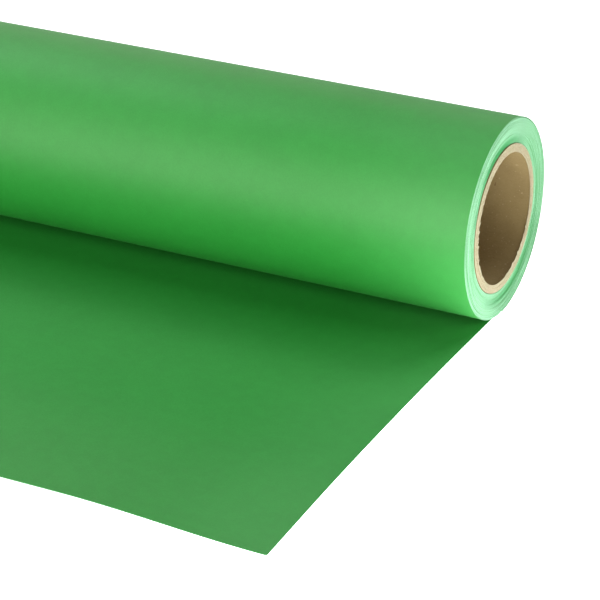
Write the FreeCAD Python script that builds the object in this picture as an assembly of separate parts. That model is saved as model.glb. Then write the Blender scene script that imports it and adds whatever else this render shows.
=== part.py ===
# Seamless backdrop paper on its spiral-wound core, standing on the floor, with a short free leaf
# drawn out from under it. Millimetres.
# Frame: X along the roll, +Y behind it, +Z up. The origin is on the core's axis at mid-length, so the
# floor is one roll radius below it. The leaf lies on the floor towards -Y.
import FreeCAD, Part
import math
import os

# Driving dimensions of the roll and its core
ROLL_WIDTH = 1350.0  # half-width backdrop paper, 53 in
ROLL_RADIUS = 43.5  # over the outermost turn, where it leaves the floor
CORE_RADIUS = 32.0
CORE_BORE_RADIUS = 28.5  # 57 mm, 2 1/4 in, the usual crossbar size
CORE_PLIES = 7  # an inner liner, five body plies and an outer ply
GLUE_LINE = 0.05  # between one ply and the next

# Driving dimensions of the paper
PAPER_LENGTH = 11000.0  # the whole web
PAPER_THICKNESS = 0.2  # 155 g/m2 uncoated
FREE_LEAF = 217.0  # from the nip under the axis to the front edge
RUNNING_CLEARANCE = 0.05  # between the wound paper and the outermost turn
NIP_GAP = 0.05  # between the leaf and the outermost turn that it runs into

# The adhesive strip that holds the web's start on the core
TAPE_THICKNESS = 0.1
TAPE_WIDTH = 50.0
TAPE_SETBACK = 5.0  # from each end of the core
TAPE_BED = 0.2  # room for the strip between the core and the first turn
TAPE_ARCS = 8

# The outermost turn is a spiral of short arcs, from the nip round to just above the leaf
TURN_SPAN = 358.0
TURN_ARCS = 30

WRAP_PITCH = math.pi * (ROLL_RADIUS**2 - CORE_RADIUS**2) / PAPER_LENGTH
WOUND_RADIUS = ROLL_RADIUS - WRAP_PITCH - PAPER_THICKNESS - RUNNING_CLEARANCE
PLY_THICKNESS = (CORE_RADIUS - CORE_BORE_RADIUS - (CORE_PLIES - 1) * GLUE_LINE) / CORE_PLIES

LEFT_END = -ROLL_WIDTH / 2
ALONG_ROLL = FreeCAD.Vector(1, 0, 0)


def tube(inner_radius, outer_radius):
    """A round tube about the core's axis, as long as the roll is wide."""
    start = FreeCAD.Vector(LEFT_END, 0, 0)
    outside = Part.makeCylinder(outer_radius, ROLL_WIDTH, start, ALONG_ROLL)
    inside = Part.makeCylinder(inner_radius, ROLL_WIDTH, start, ALONG_ROLL)
    return outside.cut(inside)


def on_roll(x, radius, turn):
    """A point at turn degrees from the nip, counted up the back and over the top."""
    angle = math.radians(turn)
    return FreeCAD.Vector(x, radius * math.sin(angle), -radius * math.cos(angle))


def arcs_round(x, span, count, radius_at):
    """A chain of arcs from the nip through span degrees, whose radius follows radius_at."""
    edges = []
    for i in range(count):
        turns = [span * (i + part) / count for part in (0, 0.5, 1)]
        points = [on_roll(x, radius_at(turn), turn) for turn in turns]
        edges.append(Part.Arc(*points).toShape())
    return edges


def curved_sheet(x, length, span, count, radius_at, thickness):
    """A sheet bent about the roll's axis, thickness deep inside radius_at, length long from x."""
    outside = arcs_round(x, span, count, radius_at)
    inside = arcs_round(x, span, count, lambda turn: radius_at(turn) - thickness)
    ends = []
    for turn in (0, span):
        outer_corner = on_roll(x, radius_at(turn), turn)
        inner_corner = on_roll(x, radius_at(turn) - thickness, turn)
        ends.append(Part.LineSegment(outer_corner, inner_corner).toShape())
    outline = Part.Wire(Part.__sortEdges__(outside + inside + ends))
    return Part.Face(outline).extrude(ALONG_ROLL * length)


def core_plies():
    """The strips of board that are wound and glued into the core, from the bore outwards."""
    names = ["core_inner_liner"]
    names += [f"core_body_ply_{i}" for i in range(1, CORE_PLIES - 1)]
    names += ["core_outer_ply"]
    plies = {}
    for i, name in enumerate(names):
        inner_radius = CORE_BORE_RADIUS + i * (PLY_THICKNESS + GLUE_LINE)
        plies[name] = tube(inner_radius, inner_radius + PLY_THICKNESS)
    return plies


def start_tape():
    """The strip under the first turn, a glue line clear of the core."""
    span = math.degrees(TAPE_WIDTH / CORE_RADIUS)
    outer_radius = CORE_RADIUS + GLUE_LINE + TAPE_THICKNESS
    length = ROLL_WIDTH - 2 * TAPE_SETBACK
    return curved_sheet(
        LEFT_END + TAPE_SETBACK,
        length,
        span,
        TAPE_ARCS,
        lambda turn: outer_radius,
        TAPE_THICKNESS,
    )


def outer_turn():
    """The outermost turn. It comes up from the nip and sinks by one wrap in each full turn."""
    return curved_sheet(
        LEFT_END,
        ROLL_WIDTH,
        TURN_SPAN,
        TURN_ARCS,
        lambda turn: ROLL_RADIUS - WRAP_PITCH * turn / 360,
        PAPER_THICKNESS,
    )


def leaf():
    """The free end of the web, flat on the floor."""
    front_corner = FreeCAD.Vector(LEFT_END, -FREE_LEAF, -ROLL_RADIUS)
    return Part.makeBox(ROLL_WIDTH, FREE_LEAF - NIP_GAP, PAPER_THICKNESS, front_corner)


pieces = core_plies()
pieces["start_tape"] = start_tape()
pieces["paper_wound"] = tube(CORE_RADIUS + TAPE_BED, WOUND_RADIUS)
pieces["paper_outer_turn"] = outer_turn()
pieces["paper_leaf"] = leaf()

os.makedirs("parts", exist_ok=True)
for name, shape in pieces.items():
    shape.exportStep(f"parts/{name}.step")
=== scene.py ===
import math

import bpy
import numpy as np
from mathutils import Matrix, Vector


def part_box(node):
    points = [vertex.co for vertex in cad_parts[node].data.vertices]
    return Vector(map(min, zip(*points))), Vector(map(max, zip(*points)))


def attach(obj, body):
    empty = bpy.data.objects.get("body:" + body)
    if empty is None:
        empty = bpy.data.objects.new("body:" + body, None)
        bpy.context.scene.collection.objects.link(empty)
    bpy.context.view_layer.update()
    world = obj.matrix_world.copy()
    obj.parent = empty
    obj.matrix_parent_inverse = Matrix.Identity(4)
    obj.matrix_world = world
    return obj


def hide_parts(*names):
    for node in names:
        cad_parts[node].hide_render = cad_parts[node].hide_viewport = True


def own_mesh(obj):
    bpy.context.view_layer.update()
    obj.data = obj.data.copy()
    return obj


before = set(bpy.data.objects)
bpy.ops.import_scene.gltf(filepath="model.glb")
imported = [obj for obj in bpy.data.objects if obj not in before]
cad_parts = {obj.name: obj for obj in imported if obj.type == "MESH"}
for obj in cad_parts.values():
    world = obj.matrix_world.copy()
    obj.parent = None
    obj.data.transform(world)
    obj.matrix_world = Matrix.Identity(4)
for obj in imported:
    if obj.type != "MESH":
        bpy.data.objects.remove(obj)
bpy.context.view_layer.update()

# ---- The core ---------------------------------------------------------------------------------
# A tube of seven strips of recycled board, each wound on the last in a helix and glued, then sawn
# to length. The bore shows the board's brown face, with a fine seam where the liner's edges meet.
# The sawn ends show pale, torn fibres, and the saw leaves the bore's rim frayed.

liner_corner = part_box("core_inner_liner")[1]
half_width = liner_corner.x
bore = 0.0285
ply_thickness = liner_corner.z - bore
ply_names = [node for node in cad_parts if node.startswith("core_body_ply")]
ply_names = ["core_inner_liner", *sorted(ply_names), "core_outer_ply"]

seam_turns = 9
seam_depth = 0.00022
end_row = 0.002  # from each end of a strip to the next row of points

sawn_tear = 0.00007  # how far torn fibres stand about on a sawn end
sawn_wobble = 0.00003
sawn_short = 0.00015  # from the designed end to the sawn one

burr_teeth = 0.0004
burr_spikes = 0.0008
burr_least = 0.00005

strand_tries = 260  # at each rim, of which about half grow
strand_lengths = (0.0004, 0.0013)
strand_radii = (0.00003, 0.00007)


class Mix:
    """One output of a node in a finish. Arithmetic on it adds Math nodes to the same finish."""

    def __init__(self, tree, socket=None):
        self.tree = tree
        self.socket = socket

    def node(self, kind, settings=None, inputs=None, output=0):
        """Adds a node: first its settings, then the values or links of its sockets."""
        made = self.tree.nodes.new("ShaderNode" + kind)
        for name, value in (settings or {}).items():
            setattr(made, name, value)
        for name, value in (inputs or {}).items():
            if isinstance(value, Mix):
                self.tree.links.new(value.socket, made.inputs[name])
            else:
                made.inputs[name].default_value = value
        return Mix(self.tree, made.outputs[output])

    def maths(self, operation, first, second):
        return self.node("Math", {"operation": operation}, {0: first, 1: second})

    def __add__(self, other):
        return self.maths("ADD", self, other)

    def __radd__(self, other):
        return self.maths("ADD", other, self)

    def __sub__(self, other):
        return self.maths("SUBTRACT", self, other)

    def __rsub__(self, other):
        return self.maths("SUBTRACT", other, self)

    def __mul__(self, other):
        return self.maths("MULTIPLY", self, other)

    def __rmul__(self, other):
        return self.maths("MULTIPLY", other, self)


def blend(share, first, second, how="MIX"):
    """Two colours, mixed by a share from 0 to 1."""
    settings = {"data_type": "RGBA", "blend_type": how}
    return share.node("Mix", settings, {0: share, 6: first, 7: second}, output=2)


def stepped(value, low, high):
    """0 below low, 1 above high and smooth between them, in a finish."""
    settings = {"interpolation_type": "SMOOTHSTEP"}
    return value.node("MapRange", settings, {"Value": value, "From Min": low, "From Max": high})


def clouds(place, scale, detail=3.0, roughness=0.5, distortion=0.0):
    """Noise from 0 to 1, with scale clouds to the metre."""
    inputs = {"Vector": place, "Scale": scale, "Detail": detail}
    inputs |= {"Roughness": roughness, "Distortion": distortion}
    return place.node("TexNoise", None, inputs)


def stretched(place, along, across, up):
    """A place whose three directions are scaled apart, so that clouds in it turn into streaks."""
    inputs = {0: place, 1: (along, across, up)}
    return place.node("VectorMath", {"operation": "MULTIPLY"}, inputs)


def finish(name, roughness, specular):
    """An empty finish: its material, its principled shader and a place to start from."""
    material = bpy.data.materials.new(name)
    material.use_nodes = True
    shader = material.node_tree.nodes["Principled BSDF"]
    shader.inputs["Roughness"].default_value = roughness
    shader.inputs["Specular IOR Level"].default_value = specular
    place = Mix(material.node_tree).node("TexCoord", output=3)
    return material, shader, place


def apply(shader, colour, height=None, depth=0.0, roughness=None):
    """Puts a colour, a height in units of depth metres and a roughness on a shader."""
    tree = colour.tree
    tree.links.new(colour.socket, shader.inputs["Base Color"])
    if height is not None:
        bump = height.node("Bump", None, {"Height": height, "Distance": depth, "Strength": 1.0})
        tree.links.new(bump.socket, shader.inputs["Normal"])
    if roughness is not None:
        tree.links.new(roughness.socket, shader.inputs["Roughness"])


def board_face():
    """The brown face of the board: long fibres, soft clouds and a few dark and pale flecks."""
    material, shader, place = finish("board_face", 0.85, 0.25)
    soft = clouds(place, 45, 4)
    fibres = clouds(stretched(place, 0.3, 1, 1), 2600, 2, 0.6, 1.5)
    flecks = stepped(clouds(place, 900, 2), 0.66, 0.74)
    motes = stepped(clouds(place, 620, 1), 0.27, 0.2)
    brown = blend(stepped(soft, 0.3, 0.7), (0.175, 0.123, 0.042, 1), (0.25, 0.185, 0.07, 1))
    brown = blend(fibres * 0.45, brown, (0.42, 0.31, 0.17, 1))
    brown = blend(flecks * 0.32, brown, (0.6, 0.48, 0.3, 1))
    brown = blend(motes * 0.6, brown, (0.14, 0.075, 0.03, 1))
    apply(shader, brown, fibres + flecks * 0.5, 0.00006, 0.78 + soft * 0.15)
    return material


def board_cut():
    """The sawn end of the board: pale torn fibres, with brown showing where they are short."""
    material, shader, place = finish("board_cut", 0.9, 0.2)
    torn = clouds(stretched(place, 0.5, 1, 1), 1500, 4, 0.65, 0.8)
    soft = clouds(place, 130, 2)
    specks = stepped(clouds(place, 1100, 2), 0.34, 0.26)
    cream = blend(stepped(torn, 0.3, 0.7), (0.32, 0.28, 0.165, 1), (0.46, 0.43, 0.29, 1))
    cream = blend(stepped(soft, 0.35, 0.75) * 0.35, cream, (0.48, 0.34, 0.25, 1))
    cream = blend(specks * 0.35, cream, (0.34, 0.24, 0.13, 1))
    apply(shader, cream, torn, 0.00025)
    return material


def make_piece(name, points, faces, finishes, finish_of_face=None, notes=None):
    """A mesh piece, smooth except where it turns sharply. Notes are numbers kept at its points."""
    mesh = bpy.data.meshes.new(name)
    mesh.from_pydata(points, [], faces)
    for material in finishes:
        mesh.materials.append(material)
    if finish_of_face is not None:
        mesh.polygons.foreach_set("material_index", finish_of_face)
    for note, values in (notes or {}).items():
        kept = mesh.attributes.new(note, "FLOAT", "POINT")
        kept.data.foreach_set("value", np.asarray(values, np.float32).ravel())
    mesh.shade_smooth()
    mesh.set_sharp_from_angle(angle=math.radians(35))
    mesh.update()
    piece = bpy.data.objects.new(name, mesh)
    bpy.context.scene.collection.objects.link(piece)
    return piece


def ring_faces(rings, round_count, closed_round=True, closed_along=True):
    """Quads between neighbouring rings of points, numbered ring after ring."""
    ring = np.arange(rings if closed_along else rings - 1)
    spot = np.arange(round_count if closed_round else round_count - 1)
    a, b = np.meshgrid(ring, spot, indexing="ij")
    a_next, b_next = (a + 1) % rings, (b + 1) % round_count
    corners = [(a, b), (a_next, b), (a_next, b_next), (a, b_next)]
    return np.stack([i * round_count + j for i, j in corners], -1).reshape(-1, 4)


def ripple(angle, seed, waves, size):
    """A smooth closed wobble round a circle, at most about size high."""
    draw = np.random.default_rng(seed)
    total = np.zeros_like(angle)
    for wave in waves:
        total += draw.normal() * np.sin(wave * angle + draw.uniform(0, 2 * math.pi))
    return size * total / math.sqrt(len(waves))


def on_rings(x, radius, angle):
    """Points at an x, radius and angle, where angle 0 is behind the roll and 90 degrees is up."""
    return np.stack([x + 0 * angle, radius * np.cos(angle), radius * np.sin(angle)], -1)


def near(angle, centre, spread):
    """1 at an angle in degrees, falling smoothly to 0 at spread degrees from it."""
    away = np.abs((np.degrees(angle) - centre + 180) % 360 - 180)
    return 0.5 + 0.5 * np.cos(np.minimum(away / spread, 1) * math.pi)


def saw_marks(angle, seed):
    """How far the sawn end of a strip falls short, in metres."""
    torn = np.abs(ripple(angle, seed, range(23, 120, 7), sawn_tear))
    return torn + sawn_short + ripple(angle, seed + 1, (1, 2, 3), sawn_wobble)


def burr(angle, seed):
    """How far torn fibres hang into the bore at its rim, in metres. Two stretches are ragged."""
    teeth = np.abs(ripple(angle, seed, range(31, 97, 5), burr_teeth))
    spikes = np.maximum(ripple(angle, seed + 2, range(40, 99, 9), burr_spikes), 0)
    ragged = near(angle, 182, 65) + 1.1 * near(angle, 305, 55)
    return burr_least + teeth * (0.35 + ragged) + spikes * ragged


def strands(rim_x, outward, seed):
    """Loose fibres at the bore's rim: thin three-sided spikes that curl into the bore."""
    draw = np.random.default_rng(seed)
    steps, sides = 3, 3
    points, faces = [], []
    for _ in range(strand_tries):
        angle = draw.uniform(0, 2 * math.pi)
        if draw.random() > 0.35 + 0.65 * near(np.array(angle), 190, 100):
            continue
        length = draw.uniform(*strand_lengths)
        thick = draw.uniform(*strand_radii)
        lean, curl = draw.normal(0, 0.5), draw.normal(0, 0.4)
        first = len(points)
        for step in range(steps + 1):
            along = step / steps
            width = thick * (1 - 0.85 * along)
            turn = angle + (lean * along + curl * along**2) * length / bore
            radius = bore + 0.0001 - length * along * (0.9 - 0.2 * along)
            x = rim_x + outward * (-sawn_short + length * 0.35 * math.sin(2.2 * along))
            for corner in range(sides):
                spin = 2 * math.pi * corner / sides
                reach = radius + width * math.cos(spin)
                place = (x + width * math.sin(spin), reach * math.cos(turn), reach * math.sin(turn))
                points.append(place)
        for step in range(steps):
            for corner in range(sides):
                low = first + step * sides + corner
                side = first + step * sides + (corner + 1) % sides
                faces.append((low, side, side + sides, low + sides))
        tip = first + steps * sides
        faces.append((first + 2, first + 1, first))
        faces.append((tip, tip + 1, tip + 2))
    return points, faces


def liner():
    """The innermost strip, with its seam pressed in along the helix and fibres at its rims."""
    seam = np.radians([-1.4, -0.5, 0.0, 0.5, 1.4])
    plain = np.radians(np.linspace(3, 357, 188))
    spots = np.concatenate([seam, plain])
    groove = np.concatenate([[0, 1, 1, 1, 0], np.zeros(len(plain))]) * seam_depth
    edge = np.array([0.0004, 0.0012, 0.003])
    rows = np.concatenate([-half_width + edge, np.linspace(-half_width, half_width, 271)[1:-1]])
    rows = np.sort(np.concatenate([rows, half_width - edge]))
    helix = 2 * math.pi * seam_turns / (2 * half_width)
    rings = []
    for end, seed in ((-1, 11), (1, 12)):
        turned = spots + end * half_width * helix
        rim = on_rings(end * half_width, bore - burr(turned, seed), turned)
        rim[:, 0] -= end * saw_marks(turned, seed)
        rings.append(rim)
    inside = [on_rings(x, bore + groove, spots + x * helix) for x in rows]
    turned = spots + half_width * helix
    outside = [
        on_rings(x, bore + ply_thickness, turned)
        for x in (half_width, half_width - end_row, -half_width + end_row, -half_width)
    ]
    outside[0][:, 0] -= saw_marks(turned, 13)
    outside[-1][:, 0] += saw_marks(turned, 14)
    rings = [rings[0], *inside, rings[1], *outside]
    points = np.concatenate(rings)
    faces = ring_faces(len(rings), len(spots))[:, ::-1].tolist()
    ring_of_face = np.arange(len(faces)) // len(spots)
    last_inside = len(inside) + 1
    on_end = (ring_of_face == last_inside) | (ring_of_face == len(rings) - 1)
    by_rim = (ring_of_face == 0) | (ring_of_face == last_inside - 1)
    slots = (on_end | by_rim).astype(int).tolist()
    points = points.tolist()
    for end, seed in ((-1, 21), (1, 22)):
        more_points, more_faces = strands(end * half_width, end, seed)
        faces += [tuple(i + len(points) for i in face) for face in more_faces]
        points += more_points
        slots += [1] * len(more_faces)
    return points, faces, slots


def plain_ply(inner, outer, seed):
    """A strip that is hidden but for its sawn ends."""
    angle = np.linspace(0, 2 * math.pi, 241)[:-1]
    rings = []
    for radius, order in ((inner, (-1, 1)), (outer, (1, -1))):
        for end in order:
            at_end = on_rings(end * half_width, radius, angle)
            at_end[:, 0] -= end * saw_marks(angle, seed + (end > 0))
            inward = on_rings(end * (half_width - end_row), radius, angle)
            rings += [at_end, inward] if end == order[0] else [inward, at_end]
    faces = ring_faces(8, len(angle))[:, ::-1]
    ring_of_face = np.arange(len(faces)) // len(angle)
    slots = np.isin(ring_of_face, (3, 7)).astype(int)
    return np.concatenate(rings).tolist(), faces.tolist(), slots.tolist()


face_finish, cut_finish = board_face(), board_cut()
for number, node in enumerate(ply_names):
    if node == "core_inner_liner":
        points, faces, slots = liner()
    else:
        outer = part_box(node)[1].z
        points, faces, slots = plain_ply(outer - ply_thickness, outer, 100 + 10 * number)
    ply = make_piece(node + "_board", points, faces, [face_finish, cut_finish], slots)
    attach(ply, "roll")
    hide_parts(node)

# ---- The start tape ---------------------------------------------------------------------------
# A strip of cream double-sided tape along the core. It holds the first turn of paper, which
# covers it, so its own shape stays as designed.


def tape_finish():
    """Creped cream tape, with fine ridges across it."""
    material, shader, place = finish("cream_tape", 0.55, 0.4)
    ridges = clouds(stretched(place, 1, 0.2, 0.2), 1400, 2)
    cream = blend(ridges, (0.62, 0.54, 0.36, 1), (0.74, 0.67, 0.48, 1))
    apply(shader, cream, ridges, 0.00004)
    return material


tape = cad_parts["start_tape"]
tape.data.materials.clear()
tape.data.materials.append(tape_finish())

# ---- The wound paper --------------------------------------------------------------------------
# All the turns under the outermost one, of uncoated 155 g paper that is dyed green right through.
# The mill's felt leaves soft clouds and a fine tooth on its faces, and the slitter leaves its cut
# edges pale with loose fibre. It is wound tight over the tape, and its turns slide a little.

chance = np.random.default_rng(46)
roll_radius = -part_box("paper_outer_turn")[0].z
core_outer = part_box("core_outer_ply")[1].z
paper_thickness = 0.0002
wrap_pitch = 0.000248
start_gap = 0.00006  # between the core and the first turn
running_gap = 0.00005  # between the last of these turns and the outermost one

tape_middle = 315  # degrees round the core
tape_reach = 45  # degrees to each side of its middle
tape_lift = 0.00012  # of the first turns where they cross it

end_short = 0.0003  # from the designed end to the turns' cut edges
end_flare = 0.0005  # how much further out the outer turns' edges stand
flare_radii = (0.034, 0.0415)  # where that begins and where it is full
end_slide = 0.00007
end_wobble = 0.00004
strays = 6  # turns at each end that have slid further
stray_slides = (0.00012, 0.0003)
trough_depth = 0.00036
painted_light_reach = 0.07  # of a painted pale light on the faces by their cut edges


def paper_face():
    """The dyed face of the paper, calendered just enough for a soft sheen, painted paler by its
    ends.
    """
    material, shader, place = finish("dyed_paper", 0.55, 0.5)
    broad = clouds(place, 35, 3)
    soft = clouds(place, 190, 3, 0.6)
    felt = clouds(place, 1500, 3, 0.65)
    fibres = clouds(stretched(place, 1, 0.35, 0.35), 5200, 1, 0.5, 2.0)
    green = blend(stepped(broad, 0.3, 0.7), (0.0135, 0.236, 0.025, 1), (0.015, 0.25, 0.027, 1))
    green = blend(stepped(soft, 0.35, 0.7) * 0.36, green, (0.019, 0.285, 0.034, 1))
    green = blend(stepped(felt, 0.35, 0.75) * 0.3, green, (0.008, 0.18, 0.016, 1))
    green = blend(stepped(fibres, 0.6, 0.76) * 0.26, green, (0.045, 0.34, 0.065, 1))
    # Painted light: the faces are brightened towards pale green near each end, as if lit there.
    x = place.node("SeparateXYZ", None, {"Vector": place})
    from_middle = x.node("Math", {"operation": "ABSOLUTE"}, {0: x})
    painted_light = stepped(from_middle, half_width - painted_light_reach, half_width)
    green = blend(painted_light * (0.024 + 0.022 * felt), green, (0.45, 0.85, 0.5, 1))
    apply(shader, green, felt * 0.7 + fibres * 0.3, 0.00004, 0.5 + felt * 0.12)
    return material


def paper_edge():
    """Stacked cut edges, each turn's a bit different; recessed turns show dye and painted shade."""
    material, shader, place = finish("cut_paper_edge", 0.8, 0.25)
    turn = place.node("Attribute", {"attribute_name": "turn"}, output=2)
    sunk_and_shade = place.node("Attribute", {"attribute_name": "sunk_and_shade"}, output=2)
    drift = clouds(place, 22, 2)
    line = turn * 2.3 + drift * 0.5
    lines = place.node("TexNoise", {"noise_dimensions": "1D"}, {"W": line, "Scale": 1, "Detail": 2})
    fluff = clouds(place, 1900, 3, 0.6)
    mint = blend(stepped(lines, 0.35, 0.65), (0.225, 0.51, 0.29, 1), (0.27, 0.575, 0.345, 1))
    mint = blend(stepped(fluff, 0.4, 0.7) * 0.4, mint, (0.31, 0.61, 0.395, 1))
    # Painted shade: recessed edges turn darker green, for the dye showing there and for shade.
    mint = blend(sunk_and_shade, mint, (0.042, 0.31, 0.09, 1))
    apply(shader, mint, lines + fluff * 0.5, 0.00006)
    return material


dyed, cut_edge = paper_face(), paper_edge()


def trough(radius, middle, spread):
    """1 at the middle radius, falling smoothly away on both sides of it."""
    return np.exp(-(((radius - middle) / spread) ** 2))


def hollow(radius, angle):
    """Two joined troughs where turns slid back at an end and shade is painted: 1 at their deepest.
    """
    upper = near(angle, 106, 78) * trough(radius, 0.0334, 0.0026)
    lower = near(angle, 290, 76) * trough(radius, 0.036, 0.0024)
    join = 0.16 * trough(radius, 0.0352, 0.0016)
    return np.maximum(upper, np.maximum(0.9 * lower, join))


def eased(value, low, high):
    """0 below low, 1 above high and smooth between them, for numbers in a mesh."""
    share = np.clip((value - low) / (high - low), 0, 1)
    return share**2 * (3 - 2 * share)


def wound_paper():
    """All the turns under the outermost one, as one long ribbon wound in a spiral."""
    turns, steps = 45, 120
    inner_radius = core_outer + start_gap
    outer_radius = roll_radius - wrap_pitch - paper_thickness - running_gap
    along = np.arange(turns * steps + 1) / steps
    angle = math.radians(270) - 2 * math.pi * along
    pitch = (outer_radius - inner_radius - paper_thickness) / turns
    radius = outer_radius - pitch * along
    from_tape = np.abs((np.degrees(angle) - tape_middle + 180) % 360 - 180) - tape_reach
    over_tape = 1 - eased(from_tape, 0, 20)
    radius += tape_lift * over_tape * np.exp((along - turns) / 4)
    # The hollow's share sets how far the turns slide back and how much painted shade they get.
    sunk_and_shade = hollow(radius, angle)
    outward = end_flare * eased(radius, *flare_radii)
    whole = np.floor(along).astype(int)
    part = along - whole
    ends = []
    for _ in range(2):
        slid = chance.normal(0, end_slide, turns + 2)
        slid[chance.integers(0, turns, strays)] += chance.uniform(*stray_slides, strays)
        drift = slid[whole] * (1 - part) + slid[whole + 1] * part
        seed = int(chance.integers(999))
        drift = drift + ripple(angle + 0.4 * along, seed, (2, 3, 5), end_wobble)
        ends.append(half_width - end_short + outward - np.abs(drift) - trough_depth * sunk_and_shade)
    corners = [(-ends[0], radius), (ends[1], radius)]
    corners += [(ends[1], radius - paper_thickness), (-ends[0], radius - paper_thickness)]
    points = np.stack([on_rings(x, r, angle) for x, r in corners], 1)
    faces = ring_faces(len(along), 4, closed_along=False)
    slots = np.tile([0, 1, 0, 1], len(along) - 1)
    last = 4 * (len(along) - 1)
    faces = faces.tolist() + [(3, 2, 1, 0), (last, last + 1, last + 2, last + 3)]
    notes = {"turn": np.repeat(along, 4), "sunk_and_shade": np.repeat(sunk_and_shade, 4)}
    return points.reshape(-1, 3).tolist(), faces, slots.tolist() + [1, 1], notes


points, faces, slots, notes = wound_paper()
wound = make_piece("wound_turns", points, faces, [dyed, cut_edge], slots, notes)
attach(wound, "roll")
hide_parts("paper_wound")

# ---- The outermost turn -----------------------------------------------------------------------
# The same web, coming up off the floor at the nip, over the roll and down its front to just above
# the leaf. It sinks by one wrap on the way, and is never quite round.

turn_span = 358  # degrees from the nip to just above the leaf
dent_size = 0.00003
edge_wobble = 0.00007
edge_beyond = 0.0002  # how far its edges stand past the designed end


def sheet_faces(rows, columns):
    """Quads for both sides and the rim of a thin sheet: its top grid, then its bottom grid."""
    top = ring_faces(rows, columns, closed_round=False, closed_along=False)
    count = rows * columns
    rim = np.concatenate(
        [
            np.arange(columns),
            np.arange(1, rows) * columns + columns - 1,
            (rows - 1) * columns + np.arange(columns - 2, -1, -1),
            np.arange(rows - 2, 0, -1) * columns,
        ]
    )
    after = np.roll(rim, -1)
    sides = np.stack([rim, after, after + count, rim + count], -1)
    slots = np.concatenate([np.zeros(2 * len(top), int), np.ones(len(sides), int)])
    return np.concatenate([top, top[:, ::-1] + count, sides]), slots


def sheet_notes(points, turn):
    """The notes at a sheet's points: its cut edges lie in one turn, flush, with no painted shade.
    """
    return {"turn": np.full(len(points), turn), "sunk_and_shade": np.zeros(len(points))}


def outer_turn():
    """The outermost turn as a thin sheet, with faint soft dents in it."""
    turn = np.radians(np.linspace(0, turn_span, turn_span + 1))
    share = np.linspace(-1, 1, 82)
    t, s = np.meshgrid(turn, share, indexing="ij")
    angle = t - math.pi / 2
    x = s * (half_width - (ripple(angle, 5, (1, 2, 4, 7), edge_wobble) - edge_beyond))
    dents = ripple(3.1 * s + 0.35 * np.sin(2 * t), 7, (1, 2, 3, 5), dent_size)
    settled = 0.55 * eased(t, 0, math.radians(70))
    sinking = settled + 0.45 * eased(t, math.radians(310), math.radians(turn_span))
    radius = roll_radius - wrap_pitch * sinking + dents * np.sin(t / 2) ** 2
    outside = np.stack([x, radius * np.cos(angle), radius * np.sin(angle)], -1)
    radius = radius - paper_thickness
    inside = np.stack([x, radius * np.cos(angle), radius * np.sin(angle)], -1)
    faces, slots = sheet_faces(*t.shape)
    points = np.concatenate([outside.reshape(-1, 3), inside.reshape(-1, 3)])
    return points.tolist(), faces[:, ::-1].tolist(), slots.tolist()


points, faces, slots = outer_turn()
notes = sheet_notes(points, 46.0)
outermost = make_piece("outermost_turn", points, faces, [dyed, cut_edge], slots, notes)
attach(outermost, "outer_turn")
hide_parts("paper_outer_turn")

# ---- The leaf ---------------------------------------------------------------------------------
# The free end of the web, cut square with a knife. It lies on the floor, with a trace of the
# roll's curl in it: its front edge lifts a little, but for its corner at the roll's right end.

leaf_low, leaf_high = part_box("paper_leaf")
leaf_front = leaf_low.y
leaf_length = -leaf_front
nip_gap = -leaf_high.y
curl_height = 0.0034
curl_start = 0.1  # in front of the nip
flat_corner = 0.088  # along the front edge, before the curl stands at its full height
wave_height = 0.0003
corner_rounding = 0.0009
side_inset = 0.0008  # of the side edges, from the roll's designed ends
side_bow = 0.0015  # how much further in they are halfway to the front


def leaf_lift(x, back):
    """How far the leaf stands off the floor at x, back metres in front of the nip."""
    from_corner = np.clip((half_width - x) / flat_corner, 0, 1)
    curl = curl_height * np.sin(from_corner * math.pi / 2) ** 2 * (0.96 - 0.04 * np.sin(9 * x))
    front = curl * np.clip((back - curl_start) / (leaf_length - curl_start), 0, 1) ** 2
    slack = np.sin(math.pi * np.clip(back / leaf_length, 0, 1) ** 1.5) ** 2
    wave = wave_height * slack * (1 + np.sin(11 * x + 9 * back) * np.sin(23 * back + 3 * x))
    return front + wave


def leaf():
    """The leaf as a thin sheet, with softened corners and side edges that bow in a little."""
    close = np.array([0, 0.0003, 0.0006, 0.0010, 0.0022, 0.0045])
    across = np.concatenate([close, np.linspace(0.008, leaf_length - 0.008, 70)])
    across = np.concatenate([across, leaf_length - close[::-1]])
    across[0] = nip_gap
    inner = half_width - 0.009
    along = np.concatenate([-half_width + close, np.linspace(-inner, inner, 150)])
    along = np.concatenate([along, half_width - close[::-1]])
    b, x = np.meshgrid(across, along, indexing="ij")
    rounding = corner_rounding
    for end in (-1, 1):
        a, c = half_width - end * x, leaf_length - b
        far = np.hypot(rounding - a, rounding - c)
        beyond = (a < rounding) & (c < rounding) & (far > rounding)
        pull = np.where(beyond, rounding / np.maximum(far, 1e-9), 1)
        x = np.where(beyond, end * (half_width - rounding + (rounding - a) * pull), x)
        b = np.where(beyond, leaf_length - rounding + (rounding - c) * pull, b)
    drawn_in = side_inset + side_bow * np.sin(math.pi * b / leaf_length)
    x = x - drawn_in * (x / half_width)
    bottom = -roll_radius + leaf_lift(x, b)
    top = np.stack([x, -b, bottom + paper_thickness], -1)
    under = np.stack([x, -b, bottom], -1)
    faces, slots = sheet_faces(*x.shape)
    points = np.concatenate([top.reshape(-1, 3), under.reshape(-1, 3)])
    return points.tolist(), faces.tolist(), slots.tolist()


points, faces, slots = leaf()
notes = sheet_notes(points, 47.0)
free_leaf = make_piece("free_leaf", points, faces, [dyed, cut_edge], slots, notes)
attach(free_leaf, "free_sheet")
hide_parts("paper_leaf")
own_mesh(free_leaf)

# ---- The studio -------------------------------------------------------------------------------
# A white floor under seven soft boxes, with the camera in front of the roll's right end. The
# floor glows, most of all by that end, as if it threw back light from around it. The room is
# white to the camera and gives no light.

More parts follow.
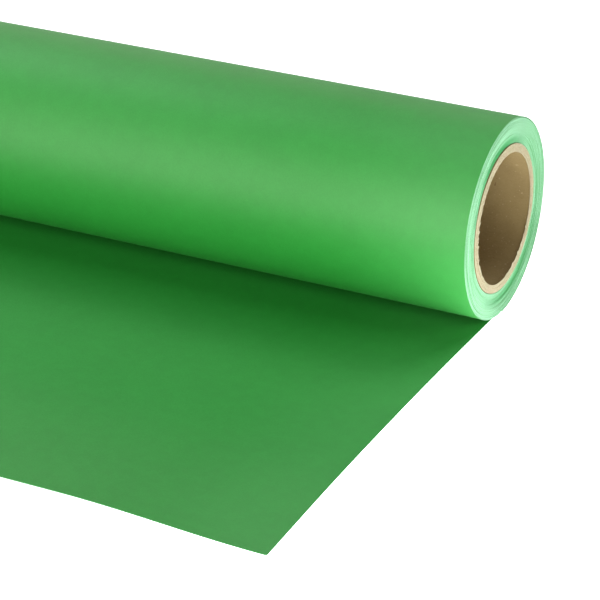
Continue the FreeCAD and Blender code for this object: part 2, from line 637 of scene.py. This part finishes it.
floor_reach = 6.0
floor_z = -roll_radius - 0.00005  # a hair under the leaf, so that the two don't share a face
glow_strength = 3.5
glow_middle = (half_width + 0.07, -0.12, floor_z)
glow_radii = (0.05, 0.25)  # where its bright pool begins to fade and where it has faded
room_strength = 0.8
box_distance = 2.2
right_end = Vector((half_width, 0, 0))
lit_place = right_end + Vector((-0.1, -0.05, -0.02))
camera_place = right_end + Vector((0.36172, -0.91224, 0.49395 - roll_radius))

floor_mesh = bpy.data.meshes.new("floor")
corners = [(-floor_reach, -floor_reach), (floor_reach, -floor_reach)]
corners += [(floor_reach, floor_reach), (-floor_reach, floor_reach)]
floor_mesh.from_pydata([(x, y, floor_z) for x, y in corners], [], [(0, 1, 2, 3)])
floor = bpy.data.objects.new("floor", floor_mesh)
bpy.context.scene.collection.objects.link(floor)
white, white_shader, floor_place = finish("white_floor", 0.9, 0.0)
apart = {0: floor_place, 1: glow_middle}
away = floor_place.node("VectorMath", {"operation": "DISTANCE"}, apart, output=1)
glow = blend(stepped(away, *glow_radii), (1, 1, 1, 1), (0.2, 0.2, 0.2, 1))
white.node_tree.links.new(glow.socket, white_shader.inputs["Emission Color"])
white_shader.inputs["Base Color"].default_value = (0.9, 0.9, 0.9, 1)
white_shader.inputs["Emission Strength"].default_value = glow_strength
floor_mesh.materials.append(white)

world = bpy.data.worlds.new("studio")
bpy.context.scene.world = world
world.use_nodes = True
room = Mix(world.node_tree)
wall = room.node("Background", None, {"Color": (1, 1, 1, 1), "Strength": room_strength})
seen = room.node("MixShader", None, {0: room.node("LightPath"), 2: wall})
world.node_tree.links.new(seen.socket, world.node_tree.nodes["World Output"].inputs["Surface"])


def soft_box(name, around, above, size, watts, tint):
    """A soft light facing the right end, at degrees round from the front and above the floor."""
    light = bpy.data.lights.new(name, "AREA")
    light.shape = "RECTANGLE"
    light.size, light.size_y = size
    light.energy = watts
    light.color = tint
    box = bpy.data.objects.new(name, light)
    bpy.context.scene.collection.objects.link(box)
    box.rotation_euler = (math.radians(90 - above), 0, math.radians(around))
    box.location = lit_place + box.rotation_euler.to_matrix() @ Vector((0, 0, box_distance))


soft_box("low_front_box", -20, 5, (1.6, 0.8), 38, (1, 0.97, 0.88))
soft_box("low_side_box", 50, 4, (1.0, 0.7), 20, (1, 0.98, 0.92))
soft_box("key_box", -27, 33, (1.4, 1.1), 23, (1, 0.96, 0.9))
soft_box("left_box", -105, 46, (1.4, 1.1), 27, (0.97, 0.98, 1))
soft_box("side_box", 100, 25, (1.0, 0.8), 11, (1, 0.99, 0.95))
soft_box("back_box", 150, 50, (1.0, 0.8), 18, (0.97, 0.98, 1))
soft_box("rim_box", -150, 22, (1.2, 0.8), 7.5, (1, 0.97, 0.85))

camera_data = bpy.data.cameras.new("camera")
camera_data.lens = 154.4
camera_data.sensor_width = 36
camera_data.clip_start, camera_data.clip_end = 0.05, 50
camera = bpy.data.objects.new("camera", camera_data)
bpy.context.scene.collection.objects.link(camera)
azimuth, elevation, tilt = (math.radians(a) for a in (26.6475, 26.534, -0.178))
camera.matrix_world = (
    Matrix.Translation(camera_place)
    @ Matrix.Rotation(azimuth, 4, "Z")
    @ Matrix.Rotation(math.radians(90) - elevation, 4, "X")
    @ Matrix.Rotation(tilt, 4, "Z")
)
bpy.context.scene.camera = camera
bpy.context.scene.view_settings.view_transform = "Standard"
